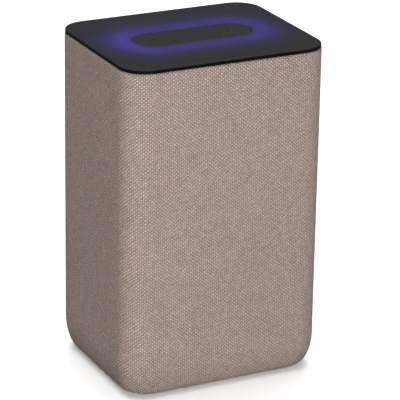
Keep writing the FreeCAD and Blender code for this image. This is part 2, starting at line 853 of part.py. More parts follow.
def enclosure_body():
    piece = Piece("enclosure_body")
    piece.pad("-box_front", "box_back", front_outline(), plane="XZ_Plane")
    piece.cut("-box_front", "box_back - box_wall", front_outline("box_wall"), plane="XZ_Plane")
    piece.pad("-box_front", "boss_length - box_front", *discs("boss_radius", BAFFLE_SCREWS), plane="XZ_Plane")
    piece.pad("box_back - 1", "board_back", *discs("boss_radius", BOARD_SCREWS), plane="XZ_Plane")
    piece.pad("box_high - 1", "frame_low", *discs("post_radius", POSTS))
    piece.pad("box_low + 1", "box_low + 8", *discs("post_radius", POSTS))
    window = slot("radiator_hole", "radiator_straight", "-radiator_back", "radiator_height", upright=True)
    piece.cut("-box_width/2", "box_width/2", window, plane="YZ_Plane")
    side_screws = [(f"{x} - radiator_back", f"{y} + radiator_height") for x, y in RADIATOR_SCREWS]
    piece.cut("-box_width/2", "box_width/2", *discs("pilot", side_screws), plane="YZ_Plane")
    piece.cut("-box_front", "boss_length - box_front", *discs("pilot", BAFFLE_SCREWS), plane="XZ_Plane")
    piece.cut("box_back + 1", "board_back", *discs("pilot", BOARD_SCREWS), plane="XZ_Plane")
    leads = discs("lead_radius + fit_gap", WOOFER_LEADS + TWEETER_LEADS)
    piece.cut("box_back - box_wall", "box_back", *leads, plane="XZ_Plane")
    piece.cut("box_high + 1", "frame_low", *discs("pilot", POSTS))
    piece.cut("box_low", "box_low + 7", *discs("pilot", POSTS))


def front_baffle():
    """The front wall that carries the drivers, and the gasket that seals it to the box."""
    piece = Piece("front_baffle")
    piece.pad(f"-{BAFFLE_TOP}", f"-{BAFFLE_LOW}", front_outline(), plane="XZ_Plane")
    woofer = circle_of("woofer_screw_ring", 4, 45, y="woofer_height")
    tweeter = circle_of("tweeter_screw_ring", 3, 90, y="tweeter_height")
    holes = discs("pilot", woofer + tweeter) + discs("clearance", BAFFLE_SCREWS)
    holes += [disc("woofer_cutout", y="woofer_height"), disc("tweeter_cutout", y="tweeter_height")]
    piece.cut(f"-{BAFFLE_TOP}", f"-{BAFFLE_LOW}", *holes, plane="XZ_Plane")
    gasket = Piece("baffle_gasket")
    rim = [front_outline("fit_gap"), front_outline("box_wall")]
    gasket.pad(f"-{BAFFLE_LOW}", "-box_front", *rim, plane="XZ_Plane")
    gasket.cut(f"-{BAFFLE_LOW}", "-box_front", *discs("clearance", BAFFLE_SCREWS), plane="XZ_Plane")
    screws("baffle_screws", BAFFLE_TOP, "8", BAFFLE_SCREWS, FRONT)


# ---------------------------------------------------------------- the woofer


def woofer_frame():
    """The pressed steel basket with six windows, its gasket, its terminal tab and its screws."""
    piece = Piece("woofer_basket", FRONT, WOOFER)
    piece.turn(
        profile(
            to("woofer_frame", "0"),
            to("woofer_frame", "steel_sheet"),
            to("basket_neck", "steel_sheet"),
            to("basket_ledge", "-ledge_level"),
            to("basket_throat", "-ledge_level"),
            to("basket_throat", "steel_sheet - gap_level"),
            to("basket_bore", "steel_sheet - gap_level"),
            to("basket_bore", "-gap_level"),
            to("basket_throat + steel_sheet", "-gap_level"),
            to("basket_throat + steel_sheet", "-ledge_level - steel_sheet"),
            to("basket_ledge + 0.8", "-ledge_level - steel_sheet"),
            to("woofer_cutout - 0.3", "0"),
        )
    )
    window = rounded("4", "18", "1.8", "basket_ledge + 2.9")
    first = piece.cut("-ledge_level", "-1", window)
    piece.repeat_around([first], 6)
    piece.pad("-8", "-3", rect("tab_width", "3", "0", "lead_rise"))
    piece.cut("0", "steel_sheet", *discs("clearance", WOOFER_SCREWS))
    gasket = Piece("woofer_gasket", FRONT, WOOFER)
    gasket.pad("-seal", "0", disc("woofer_frame"), disc("woofer_cutout"), *discs("clearance", WOOFER_SCREWS))
    screws("woofer_screws", "steel_sheet", "5.5", WOOFER_SCREWS, FRONT, WOOFER)


def woofer_moving_parts():
    cone = Piece("woofer_cone", FRONT, WOOFER)
    cone.turn(
        profile(
            to("cone_radius", "steel_sheet - cone_sheet"),
            to("cone_radius", "steel_sheet"),
            to("cone_radius - cone_rim", "steel_sheet"),
            to("coil_radius + coil_former", "-cone_neck"),
            to("coil_radius + coil_former", "-cone_neck - 1"),
            to("cone_radius - cone_rim", "steel_sheet - cone_sheet"),
        )
    )
    cap = Piece("woofer_dust_cap", FRONT, WOOFER)
    slope = "(cone_neck + steel_sheet)/(cone_radius - cone_rim - coil_radius - coil_former)"
    seat = f"(cap_radius - coil_radius - coil_former)*{slope} - cone_neck"
    cap.turn(dome_profile("cap_radius", "cap_rise", "rubber", f"({seat})"))
    surround = Piece("woofer_surround", FRONT, WOOFER)
    lip = "cone_radius - cone_rim"
    surround.turn(roll_profile("roll_middle", "steel_sheet", lip, "roll_lip", "roll_radius", "rubber"))
    coil = Piece("woofer_voice_coil", FRONT, WOOFER)
    middle = "-(gap_level + plate_thickness/2)"
    wound = "coil_radius + coil_former + coil_winding"
    coil.turn(
        profile(
            to("coil_radius", f"{middle} - coil_length/2"),
            to(wound, f"{middle} - coil_length/2"),
            to(wound, f"{middle} + coil_length/2"),
            to("coil_radius + coil_former", f"{middle} + coil_length/2"),
            to("coil_radius + coil_former", "-cone_neck"),
            to("coil_radius", "-cone_neck"),
        )
    )
    spider = Piece("woofer_spider", FRONT, WOOFER)
    folds = [(f"{12.8 + 1.4 * k}", f"-ledge_level {'+-'[k % 2]} spider_wave") for k in range(6)]
    line_below = [("coil_radius + coil_former", "-ledge_level"), ("11.6", "-ledge_level"), *folds]
    line_below += [("21.2", "-ledge_level"), ("basket_ledge - 0.6", "-ledge_level")]
    line_above = [(x, f"{y} + rubber") for x, y in reversed(line_below)]
    spider.turn(profile(*[to(x, y) for x, y in line_below + line_above]))


def woofer_motor():
    plate = Piece("woofer_top_plate", FRONT, WOOFER)
    low = "-(gap_level + plate_thickness)"
    plate.turn(ring_profile("gap_radius", "plate_radius", low, "-gap_level"))
    magnet = Piece("woofer_magnet", FRONT, WOOFER)
    magnet.turn(ring_profile("magnet_bore", "magnet_radius", f"{low} - magnet_height", low))
    yoke = Piece("woofer_yoke", FRONT, WOOFER)
    face = f"{low} - magnet_height"
    yoke.turn(
        profile(
            to("pole_vent", f"{face} - plate_thickness"),
            to("plate_radius", f"{face} - plate_thickness"),
            to("plate_radius", face),
            to("pole_radius", face),
            to("pole_radius", "-gap_level"),
            to("pole_vent", "-gap_level"),
        )
    )


# ---------------------------------------------------------------- the tweeter


def tweeter_front():
    plate = Piece("tweeter_faceplate", FRONT, TWEETER)
    plate.turn(
        profile(
            to("tweeter_mouth", "0"),
            to("tweeter_frame", "0"),
            to("tweeter_frame", "tweeter_plate"),
            to("tweeter_flare", "tweeter_plate"),
        )
    )
    plate.cut("0", "tweeter_plate", *discs("clearance", TWEETER_SCREWS))
    screws("tweeter_screws", "tweeter_plate", "5.5", TWEETER_SCREWS, FRONT, TWEETER)


def tweeter_moving_parts():
    dome = Piece("tweeter_dome", FRONT, TWEETER)
    dome.turn(dome_profile("dome_radius", "dome_rise", "dome_sheet", "-dome_sheet"))
    surround = Piece("tweeter_surround", FRONT, TWEETER)
    base = "-dome_sheet"
    lips = ("dome_radius", "cup_radius - 0.6")
    surround.turn(roll_profile("dome_roll_middle", base, *lips, "dome_roll", "dome_sheet"))
    coil = Piece("tweeter_voice_coil", FRONT, TWEETER)
    former = "dome_coil + dome_former"
    coil.turn(
        profile(
            to("dome_coil", "-3.4"),
            to(f"{former} + dome_winding", "-3.4"),
            to(f"{former} + dome_winding", "-1.1"),
            to(former, "-1.1"),
            to(former, base),
            to("dome_coil", base),
        )
    )


def tweeter_motor():
    yoke = Piece("tweeter_yoke", FRONT, TWEETER, many=True)
    floor = "-(cup_depth - cup_floor)"
    cup = profile(
        to("0", "-cup_depth"),
        to("cup_radius", "-cup_depth"),
        to("cup_radius", "-dome_sheet"),
        to("cup_gap", "-dome_sheet"),
        to("cup_gap", "-dome_sheet - cup_lip"),
        to("cup_room", "-dome_sheet - cup_lip"),
        to("cup_room", floor),
        to("0", floor),
    )
    pole_low = "-(pole_cap_level + pole_cap_height)"
    yoke.turn(cup, ring_profile("0", "pole_cap_radius", pole_low, "-pole_cap_level"))
    magnet = Piece("tweeter_magnet", FRONT, TWEETER)
    magnet.turn(ring_profile("0", "button_radius", floor, pole_low))


# ---------------------------------------------------------------- the passive radiators


def racetrack(width):
    return slot(width, "radiator_straight", upright=True)


def radiator(side, facing, x):
    """A passive radiator: a weighted plate that a rubber roll holds in a frame on the box's side."""
    place = (x, "-radiator_back", "radiator_height")
    frame = Piece(f"{side}_radiator_frame", facing, place)
    frame.pad("0", "radiator_rim", racetrack("radiator_flange"), racetrack("radiator_bore"))
    frame.pad("-radiator_depth", "0", racetrack("radiator_sleeve"), racetrack("radiator_bore"))
    ledge = [racetrack("radiator_sleeve"), racetrack("radiator_ledge")]
    frame.pad("-radiator_depth", "-radiator_level", *ledge)
    frame.cut("0", "radiator_rim", *discs("clearance", RADIATOR_SCREWS))

    surround = Piece(f"{side}_radiator_surround", facing, place)
    lips = ("radiator_lip", "radiator_bore/2 - hair_gap")
    roll = roll_profile("radiator_roll_middle", "-radiator_level", *lips, "roll_radius", "rubber")
    straight = surround.pad("-radiator_straight/2", "radiator_straight/2", roll, plane="XZ_Plane")
    section = surround.sketch([roll], "XZ_Plane", "-radiator_straight/2")
    upright = (section, ["V_Axis"])
    end = surround.feature("Revolution", Profile=section, ReferenceAxis=upright, Angle=FULL_TURN / 2)
    surround.done(end)
    surround.repeat_around([straight, end], 2)

    plate = Piece(f"{side}_radiator_diaphragm", facing, place)
    back = "-(radiator_level + radiator_sheet)"
    plate.pad(back, "-radiator_level", racetrack("radiator_plate"))
    weight = Piece(f"{side}_radiator_weight", facing, place)
    weight.pad(f"{back} - weight_height", back, slot("weight_width", "weight_straight", upright=True))


def radiators():
    radiator("left", LEFT, "-box_width/2")
    radiator("right", RIGHT, "box_width/2")
    place = ("0", "-radiator_back", "radiator_height")
    seat = "box_width/2 + radiator_rim"
    piece, features = screws("radiator_screws", seat, "5.5", RADIATOR_SCREWS, RIGHT, place)
    piece.mirror(features, "XY_Plane")


# ---------------------------------------------------------------- the electronics


def main_board():
    board = Piece("main_board")
    middle = "(board_low + board_high)/2"
    outline = rounded("board_width", "board_high - board_low", "2", "0", middle)
    board.pad("board_back", BOARD_FACE, outline, *discs("clearance", BOARD_SCREWS), plane="XZ_Plane")
    screws("board_screws", BOARD_FACE, "6", BOARD_SCREWS, BACK)


def board_parts():
    """The parts on the board's rear face."""
    shield = Piece("processor_shield")
    size = ["shield_size", "shield_size", "1.5", "0", "shield_height"]
    room = ["shield_size - 2*sheet_can", "shield_size - 2*sheet_can", "1", "0", "shield_height"]
    shield.pad(BOARD_FACE, f"{BOARD_FACE} + shield_depth", rounded(*size), plane="XZ_Plane")
    shield.cut(BOARD_FACE, f"{BOARD_FACE} + shield_depth - sheet_can", rounded(*room), plane="XZ_Plane")

    sink = Piece("amplifier_heatsink")
    base = rect("sink_width", "sink_length", "0", "sink_height")
    sink.pad(BOARD_FACE, f"{BOARD_FACE} + sink_base", base, plane="XZ_Plane")
    fin = rect("fin_thickness", "sink_length", "fin_thickness/2 - sink_width/2", "sink_height")
    first = sink.pad(BOARD_FACE, f"{BOARD_FACE} + sink_depth", fin, plane="XZ_Plane")
    sink.repeat_along(first, "X_Axis", "6*fin_pitch", 7)

    coils = [rounded("coil_box", "coil_box", "1.5", *p) for p in corners("coil_box_x", "coil_box_height")]
    inductors = Piece("inductors", many=True)
    inductors.pad(BOARD_FACE, f"{BOARD_FACE} + coil_box_depth", *coils, plane="XZ_Plane")

    cans = discs("can_radius", corners("can_x", "coil_box_height", "sink_height"))
    capacitors = Piece("capacitors", many=True)
    capacitors.pad(BOARD_FACE, f"{BOARD_FACE} + can_depth", *cans, plane="XZ_Plane")


def wiring():
    """The sockets, the leads to both drivers, and the ribbon up to the lamps."""
    sockets = Piece("board_connectors", many=True)
    plugs = [rect("plug_width", "plug_height", "0", z) for _, z in (WOOFER_LEADS[0], TWEETER_LEADS[0])]
    sockets.pad("board_back - plug_depth", "board_back", *plugs, plane="XZ_Plane")
    low = "(board_high - 2*socket_height)"
    ribbon_socket = rect("ribbon_socket", "socket_height", "0", f"{low} + socket_height/2")
    sockets.pad(BOARD_FACE, f"{BOARD_FACE} + socket_depth", ribbon_socket, plane="XZ_Plane")
    lamp_socket = rect("ribbon_socket", "socket_depth", "0", "ribbon_level")
    sockets.pad("led_board_low - 1.6", "led_board_low", lamp_socket)
    sockets.pad(LED_TOP, "touch_board_low", rect("header_width", "header_depth", "0", "header_y"))

    leads = Piece("speaker_leads", many=True)
    tab = "8 - seal - " + BAFFLE_TOP
    leads.pad(tab, "board_back - plug_depth", *discs("lead_radius", WOOFER_LEADS), plane="XZ_Plane")
    cup = f"cup_depth - {BAFFLE_TOP}"
    leads.pad(cup, "board_back - plug_depth", *discs("lead_radius", TWEETER_LEADS), plane="XZ_Plane")

    ribbon = Piece("ribbon_cable")
    strip = rect("ribbon_width", "ribbon_sheet", "0", "ribbon_level")
    ribbon.pad(f"{low} + socket_height", "led_board_low - 1.6", strip)


def power_inlet():
    """The barrel socket on the board, its centre pin, and the ring that frames it in the fabric."""
    place = ("0", "0", "jack_height")
    jack = Piece("dc_jack", BACK, place)
    deep = "jack_front - jack_bore_depth"
    jack.pad(BOARD_FACE, "jack_front", rounded("jack_size", "jack_size", "1"))
    jack.cut(deep, "jack_front", disc("jack_bore"))
    jack.cut(f"{deep} - jack_pin_root", deep, disc("jack_pin_collar"))
    pin = Piece("dc_jack_pin", BACK, place)
    pin.pad(f"{deep} - jack_pin_root", deep, disc("jack_pin_collar"))
    pin.pad(deep, f"{deep} + jack_pin_free", disc("jack_pin"))
    bezel = Piece("inlet_bezel", BACK, place)
    wall = "body_depth/2 - skin"
    bezel.pad("jack_front + fit_gap", wall, disc("bezel_sleeve"), disc("bezel_hole"))
    bezel.pad(wall, "body_depth/2", disc("bezel_radius"), disc("bezel_hole"))


# ---------------------------------------------------------------- build, check and write

for build in (
    fabric_cover,
    grille_shell,
    rubber_foot,
    base_plate,
    base_fasteners,
    top_panel,
    touch_pad,
    touch_electronics,
    light_box,
    top_frame,
    enclosure_body,
    front_baffle,
    woofer_frame,
    woofer_moving_parts,
    woofer_motor,
    tweeter_front,
    tweeter_moving_parts,
    tweeter_motor,
    radiators,
    main_board,
    board_parts,
    wiring,
    power_inlet,
):
    build()

doc.recompute()
for item in doc.Objects:
    if {"Invalid", "Error"} & set(item.State):
        raise RuntimeError(f"{item.Label} failed")
for body in pieces:
    if body.Shape.isNull() or not body.Shape.isValid():
        raise RuntimeError(f"{body.Label} has no valid shape")

os.makedirs("parts", exist_ok=True)
for body in pieces:
    body.Shape.exportStep(f"parts/{body.Label}.step")
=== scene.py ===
"""Looks for the smart speaker: the woven cover, the glowing light panel, the soft parts that hold
the moving cones, and a finish for every other piece. Metres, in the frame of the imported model."""

import json
import math

import bmesh
import bpy
from mathutils import Matrix, Vector


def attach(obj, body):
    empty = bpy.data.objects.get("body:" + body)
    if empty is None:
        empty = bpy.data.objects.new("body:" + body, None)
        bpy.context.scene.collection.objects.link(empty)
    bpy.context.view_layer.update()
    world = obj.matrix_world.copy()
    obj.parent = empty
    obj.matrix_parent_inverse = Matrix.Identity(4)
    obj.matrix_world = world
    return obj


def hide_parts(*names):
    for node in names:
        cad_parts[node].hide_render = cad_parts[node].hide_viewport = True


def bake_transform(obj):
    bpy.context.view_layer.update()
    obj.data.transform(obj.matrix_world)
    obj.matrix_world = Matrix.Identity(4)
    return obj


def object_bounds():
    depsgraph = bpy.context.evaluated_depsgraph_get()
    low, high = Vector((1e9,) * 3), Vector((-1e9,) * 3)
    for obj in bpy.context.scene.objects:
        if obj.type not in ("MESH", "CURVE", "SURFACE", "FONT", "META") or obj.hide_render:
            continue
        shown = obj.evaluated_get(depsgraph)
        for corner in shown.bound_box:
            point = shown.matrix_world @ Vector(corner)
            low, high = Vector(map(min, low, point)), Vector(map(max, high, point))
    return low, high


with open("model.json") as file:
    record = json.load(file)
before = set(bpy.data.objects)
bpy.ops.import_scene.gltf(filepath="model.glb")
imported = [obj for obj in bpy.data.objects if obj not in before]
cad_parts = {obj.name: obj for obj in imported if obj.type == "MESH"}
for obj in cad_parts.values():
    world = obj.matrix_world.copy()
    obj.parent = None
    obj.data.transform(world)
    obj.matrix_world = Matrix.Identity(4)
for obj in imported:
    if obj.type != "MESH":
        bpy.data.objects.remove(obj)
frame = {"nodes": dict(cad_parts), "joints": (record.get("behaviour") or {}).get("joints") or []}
cad_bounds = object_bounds()

MM = 0.001


# ---------------------------------------------------------------- a small kit for finishes


def screen(red, green, blue):
    """A colour named by its 0-255 screen levels, as linear light."""
    return tuple(((v / 255 + 0.055) / 1.055) ** 2.4 for v in (red, green, blue)) + (1,)


def scaled(colour, by):
    return tuple(min(v * by, 1) for v in colour[:3]) + (1,)


class Finish:
    """One material. A plain number or colour is set on the socket that it is meant for."""

    def __init__(self, name):
        self.material = bpy.data.materials.new(name)
        self.material.use_nodes = True
        self.tree = self.material.node_tree
        self.tree.nodes.clear()
        self.place = self.add("ShaderNodeTexCoord").outputs["Object"]

    def feed(self, socket, value):
        if isinstance(value, bpy.types.NodeSocket):
            self.tree.links.new(value, socket)
        else:
            socket.default_value = value

    def add(self, kind, settings=(), **sockets):
        node = self.tree.nodes.new(kind)
        for key, value in dict(settings).items():
            setattr(node, key, value)
        for key, value in sockets.items():
            self.feed(node.inputs[key.replace("_", " ")], value)
        return node

    def calc(self, operation, *values):
        node = self.add("ShaderNodeMath", {"operation": operation})
        for socket, value in zip(node.inputs, values):
            self.feed(socket, value)
        return node.outputs[0]

    def ramp(self, value, low, high, at_low=0.0, at_high=1.0):
        """A smooth change from one number to another while value goes from low to high."""
        settings = {"interpolation_type": "SMOOTHSTEP"}
        ends = {"From_Min": low, "From_Max": high, "To_Min": at_low, "To_Max": at_high}
        return self.add("ShaderNodeMapRange", settings, Value=value, **ends).outputs[0]

    def mix(self, factor, a, b, how="MIX"):
        node = self.add("ShaderNodeMix", {"data_type": "RGBA", "blend_type": how})
        for index, value in ((0, factor), (6, a), (7, b)):
            self.feed(node.inputs[index], value)
        return node.outputs[2]

    def split(self, vector):
        return self.add("ShaderNodeSeparateXYZ", Vector=vector).outputs

    def noise(self, size, detail=2.0, along=(1, 1, 1)):
        """Soft grain of one size, drawn out along each axis by so much."""
        stretch = tuple(1 / v for v in along)
        where = self.add("ShaderNodeMapping", Vector=self.place, Scale=stretch).outputs[0]
        node = self.add("ShaderNodeTexNoise", Vector=where, Scale=1 / size, Detail=detail)
        return node.outputs[0]

    def fields(self, size):
        """Square-cornered fields of one size, each with its own three random numbers."""
        settings = {"distance": "CHEBYCHEV"}
        node = self.add("ShaderNodeTexVoronoi", settings, Vector=self.place, Scale=1 / size)
        return self.split(node.outputs["Color"])

    def surface(self, colour, roughness, height=None, depth=0.0, **constants):
        """Closes the material with its colour, its roughness and a relief so many metres deep."""
        looks = {"Base_Color": colour, "Roughness": roughness, **constants}
        shader = self.add("ShaderNodeBsdfPrincipled", **looks)
        if height is not None:
            bump = self.add("ShaderNodeBump", Height=height, Distance=depth, Strength=1.0)
            self.tree.links.new(bump.outputs[0], shader.inputs["Normal"])
        out = self.add("ShaderNodeOutputMaterial")
        self.tree.links.new(shader.outputs[0], out.inputs["Surface"])
        return self.material


# ---------------------------------------------------------------- the finishes that show

# The weave: threads up the cloth and threads across it, how high they stand, how far each one leans
# out of its cell, and how far the rows wander (in cells). Where the cloth folds in under the panel,
# counted down it from its inner edge, its tone is darkened: painted shade under the panel's edge.
WARP_PITCH = 1.18 * MM
WEFT_PITCH = 0.975 * MM
THREAD_HEIGHT = 0.26 * MM
YARN_LEAN = -0.3
WARP_WANDER, WEFT_WANDER = 0.7, -0.6
FOLD_SHADE_START, FOLD_SHADE_END, FOLD_PAINTED_SHADE = 2.6 * MM, 4.2 * MM, 0.66
LIGHT_THREAD = screen(187, 168, 159)
DARK_THREAD = screen(156, 139, 130)
THREAD_GAP_SHADE = screen(44, 37, 32)

# The panel and the pad. The glow is painted light, emission on the panel's top face only, so it
# comes in over a short height at the panel's edge, and its reach is counted from the rim of the
# pill-shaped pad.
PANEL_GREY = screen(32, 32, 35)
PANEL_EDGE = screen(15, 13, 12)
PAD_GREY = screen(32, 33, 32)
PAD_MARK = screen(74, 75, 76)
GLOW = (0.16, 0.075, 1.0, 1)
GLOW_STRENGTH = 0.142
GLOW_REACH = 30 * MM
GLOW_FALL = (
    (0.0, 0.45),
    (0.08, 0.88),
    (0.16, 1.0),
    (0.22, 0.99),
    (0.34, 0.74),
    (0.48, 0.35),
    (0.6, 0.17),
    (0.76, 0.07),
    (1.0, 0.0),
)
PILL_STRAIGHT = 23.6 * MM
PILL_RADIUS = 11.6 * MM
MARK_X = 23.8 * MM
MARK_REACH = (2.2 * MM, 2.6 * MM)


def woven_cover():
    """A plain weave of soft thick yarn. Places come from the cloth itself: round it, down it."""
    f = Finish("wrap_weave")
    lie = f.add("ShaderNodeAttribute", {"attribute_name": "weave"}).outputs["Vector"]
    across, down, _ = f.split(lie)
    waver = f.calc("SUBTRACT", f.noise(11 * MM, 1.0), 0.5)
    jitter = f.calc("SUBTRACT", f.noise(1.9 * MM, 1.0), 0.5)
    counts, firsts = [], []
    threads = ((across, WARP_PITCH, WARP_WANDER), (down, WEFT_PITCH, WEFT_WANDER))
    for length, pitch, amount in threads:
        count = f.calc("DIVIDE", length, pitch)
        count = f.calc("MULTIPLY_ADD", waver, amount, count)
        counts.append(f.calc("MULTIPLY_ADD", jitter, amount, count))
        firsts.append(f.calc("FLOOR", counts[-1]))
    inside = [f.calc("SUBTRACT", f.calc("SUBTRACT", c, n), 0.5) for c, n in zip(counts, firsts)]
    # Painted shade: each warp column's tone darkens towards its two sides, in the grooves between
    # threads.
    groove = f.ramp(f.calc("ABSOLUTE", inside[0]), 0.3, 0.5, 1.0, 0.86)
    inside = [f.calc("MULTIPLY_ADD", b, YARN_LEAN, a) for a, b in (inside, inside[::-1])]
    weft_up = f.calc("FLOORED_MODULO", f.calc("ADD", *firsts), 2.0)
    swap = f.calc("MULTIPLY", f.calc("SUBTRACT", inside[0], inside[1]), weft_up)
    lengthwise = f.calc("ADD", inside[1], swap)
    sideways = f.calc("SUBTRACT", inside[0], swap)

    wave = f.calc("COSINE", f.calc("MULTIPLY", lengthwise, math.pi))
    arch = f.calc("MULTIPLY_ADD", wave, 0.5, 0.5)
    width = f.calc("POWER", f.calc("MULTIPLY", sideways, 1.92), 2.0)
    crown = f.calc("SQRT", f.calc("MAXIMUM", f.calc("SUBTRACT", 1.0, width), 0.0))
    twist = f.calc("MULTIPLY_ADD", sideways, 9.0, f.calc("MULTIPLY", lengthwise, 22.0))
    plies = f.calc("MULTIPLY_ADD", f.calc("SINE", twist), 0.06, 0.94)
    standing = f.calc("MULTIPLY_ADD", weft_up, 0.14, 0.86)
    relief = f.calc("MULTIPLY", standing, plies)
    height = f.calc("MULTIPLY", f.calc("MULTIPLY", arch, crown), relief)

    yarn = f.add("ShaderNodeTexWhiteNoise", {"noise_dimensions": "2D"})
    pick = f.add("ShaderNodeCombineXYZ", X=firsts[0], Y=firsts[1])
    f.tree.links.new(pick.outputs[0], yarn.inputs["Vector"])
    # Weft-up cells take the lighter yarn colour, the others the darker: partly two yarn colours,
    # partly painted shade on the sunken threads.
    thread = f.mix(weft_up, DARK_THREAD, LIGHT_THREAD)
    slub = f.noise(3.2 * MM, 2.0)
    # Painted shade: the cloth's tone darkens down its fold in under the panel's edge.
    painted_fold_shade = f.ramp(down, FOLD_SHADE_START, FOLD_SHADE_END, FOLD_PAINTED_SHADE, 1.0)
    tone = f.calc("MULTIPLY", groove, painted_fold_shade)
    for share, spread in (
        (yarn.outputs["Value"], 0.26),
        (f.noise(0.35 * MM, 3.0), 0.34),
        (slub, 0.28),
        (f.noise(24 * MM, 2.0), 0.12),
    ):
        tone = f.calc("MULTIPLY", tone, f.calc("MULTIPLY_ADD", share, spread, 1 - spread / 2))
    grey = f.add("ShaderNodeCombineColor", Red=tone, Green=tone, Blue=tone)
    thread = f.mix(1.0, thread, grey.outputs[0], "MULTIPLY")
    # Painted shade: where the threads lie low, the colour goes towards the dark gap colour, in the
    # pits between threads.
    colour = f.mix(f.ramp(height, 0.04, 0.56), THREAD_GAP_SHADE, thread)
    roughness = f.ramp(height, 0.0, 1.0, 0.97, 0.8)
    fuzz = f.calc("MULTIPLY_ADD", f.noise(0.3 * MM, 2.0), 0.16, height)
    fuzz = f.calc("MULTIPLY_ADD", slub, 0.5, fuzz)
    sheen = {"Sheen_Weight": 0.05, "Sheen_Roughness": 0.4, "Specular_IOR_Level": 0.12}
    return f.surface(colour, roughness, fuzz, THREAD_HEIGHT, **sheen)


def distance_past_pill(f):
    """How far a place on the panel is outside the pill-shaped pad, and the place itself."""
    x, y, z = f.split(f.place)
    past = f.calc("MAXIMUM", f.calc("SUBTRACT", f.calc("ABSOLUTE", x), PILL_STRAIGHT), 0.0)
    reach = f.calc("SQRT", f.calc("ADD", f.calc("POWER", past, 2.0), f.calc("POWER", y, 2.0)))
    return f.calc("SUBTRACT", reach, PILL_RADIUS), x, y, z


def light_panel():
    """Smoked panel, satin on top. Its glow around the pad is painted on its top as emission,
    standing in for light from the ring of lamps beneath it.
    """
    f = Finish("panel_smoke")
    away, x, y, z = distance_past_pill(f)
    # The painted glow reaches a little further towards the back, is brighter towards both ends and
    # brightest at the left end, and is patchy.
    away = f.calc("MULTIPLY", away, f.ramp(y, 15 * MM, 40 * MM, 1.0, 0.88))
    ramp = f.add("ShaderNodeValToRGB", Fac=f.calc("DIVIDE", away, GLOW_REACH))
    ramp.color_ramp.interpolation = "CARDINAL"
    for _ in GLOW_FALL[2:]:
        ramp.color_ramp.elements.new(0.5)
    for element, (place, level) in zip(ramp.color_ramp.elements, GLOW_FALL):
        element.position = place
        element.color = (level, level, level, 1)
    ends = f.ramp(f.calc("ABSOLUTE", x), 20 * MM, 38 * MM, 1.0, 1.13)
    left = f.ramp(x, -20 * MM, -38 * MM, 1.0, 1.28)
    patchy = f.calc("MULTIPLY_ADD", f.noise(14 * MM, 1.0), 0.3, 0.85)
    uneven = f.calc("MULTIPLY", ends, f.calc("MULTIPLY", left, patchy))
    on_top = f.ramp(z, 189.2 * MM, 189.7 * MM, 0.0, GLOW_STRENGTH)
    painted_glow = f.calc("MULTIPLY", f.calc("MULTIPLY", ramp.outputs[0], uneven), on_top)
    grain = f.noise(0.25 * MM, 3.0)
    wiped = f.noise(16 * MM, 3.0, (3, 1, 1))
    colour = f.mix(wiped, scaled(PANEL_GREY, 0.92), scaled(PANEL_GREY, 1.08))
    # The panel's sides and rounded edge, below its top face, go near-black: partly a black edge,
    # partly painted shade.
    colour = f.mix(f.ramp(z, 189.62 * MM, 189.95 * MM), PANEL_EDGE, colour)
    roughness = f.calc("MULTIPLY_ADD", grain, 0.08, f.calc("MULTIPLY_ADD", wiped, 0.1, 0.36))
    light = {"Emission_Color": GLOW, "Emission_Strength": painted_glow}
    return f.surface(colour, roughness, grain, 0.006 * MM, Specular_IOR_Level=0.15, **light)


def soft_pad():
    """Soft-touch pad with its volume marks filled in a lighter grey."""
    f = Finish("pad_soft")
    x, _, z = f.split(f.place)
    near = f.calc("ABSOLUTE", f.calc("SUBTRACT", f.calc("ABSOLUTE", x), MARK_X))
    sunk = f.ramp(z, 189.82 * MM, 189.9 * MM, 1.0, 0.0)
    marked = f.calc("MULTIPLY", sunk, f.ramp(near, *MARK_REACH, 1.0, 0.0))
    marked = f.calc("MULTIPLY", marked, f.ramp(z, 189.6 * MM, 189.7 * MM))
    grain = f.noise(0.4 * MM, 4.0)
    worn = f.noise(9 * MM, 2.0)
    base = f.mix(worn, scaled(PAD_GREY, 0.9), scaled(PAD_GREY, 1.1))
    colour = f.mix(marked, base, PAD_MARK)
    roughness = f.calc("MULTIPLY_ADD", worn, 0.12, f.calc("MULTIPLY_ADD", grain, 0.12, 0.5))
    return f.surface(colour, roughness, grain, 0.014 * MM, Specular_IOR_Level=0.15)


# ---------------------------------------------------------------- families of finishes


def moulded(name, colour, roughness, grain=0.5, depth=0.012, mottle=0.14, **constants):
    """Plastic, rubber or foam: a fine grain all over, and slow changes of tone and gloss."""
    f = Finish(name)
    fine = f.noise(grain * MM, 3.0)
    broad = f.noise(grain * 22 * MM, 2.0)
    tone = f.mix(broad, scaled(colour, 1 - mottle), scaled(colour, 1 + mottle))
    tone = f.mix(f.calc("MULTIPLY", fine, 0.3), tone, scaled(colour, 1.35))
    slow = f.calc("MULTIPLY_ADD", broad, 0.14, roughness - 0.15)
    gloss = f.calc("MULTIPLY_ADD", fine, 0.16, slow)
    return f.surface(tone, gloss, fine, depth * MM, **constants)


def metal(name, colour, roughness, along=(12, 1, 1), depth=0.006, **constants):
    """Metal with the fine lines of its rolling or turning, and a few duller patches."""
    f = Finish(name)
    lines = f.noise(0.22 * MM, 2.0, along)
    dull = f.noise(5 * MM, 3.0)
    tone = f.mix(lines, scaled(colour, 0.82), scaled(colour, 1.12))
    tone = f.mix(f.ramp(dull, 0.55, 0.75, 0.0, 0.35), tone, scaled(colour, 0.6))
    slow = f.calc("MULTIPLY_ADD", dull, 0.2, roughness - 0.16)
    gloss = f.calc("MULTIPLY_ADD", lines, 0.16, slow)
    return f.surface(tone, gloss, lines, depth * MM, Metallic=1.0, **constants)


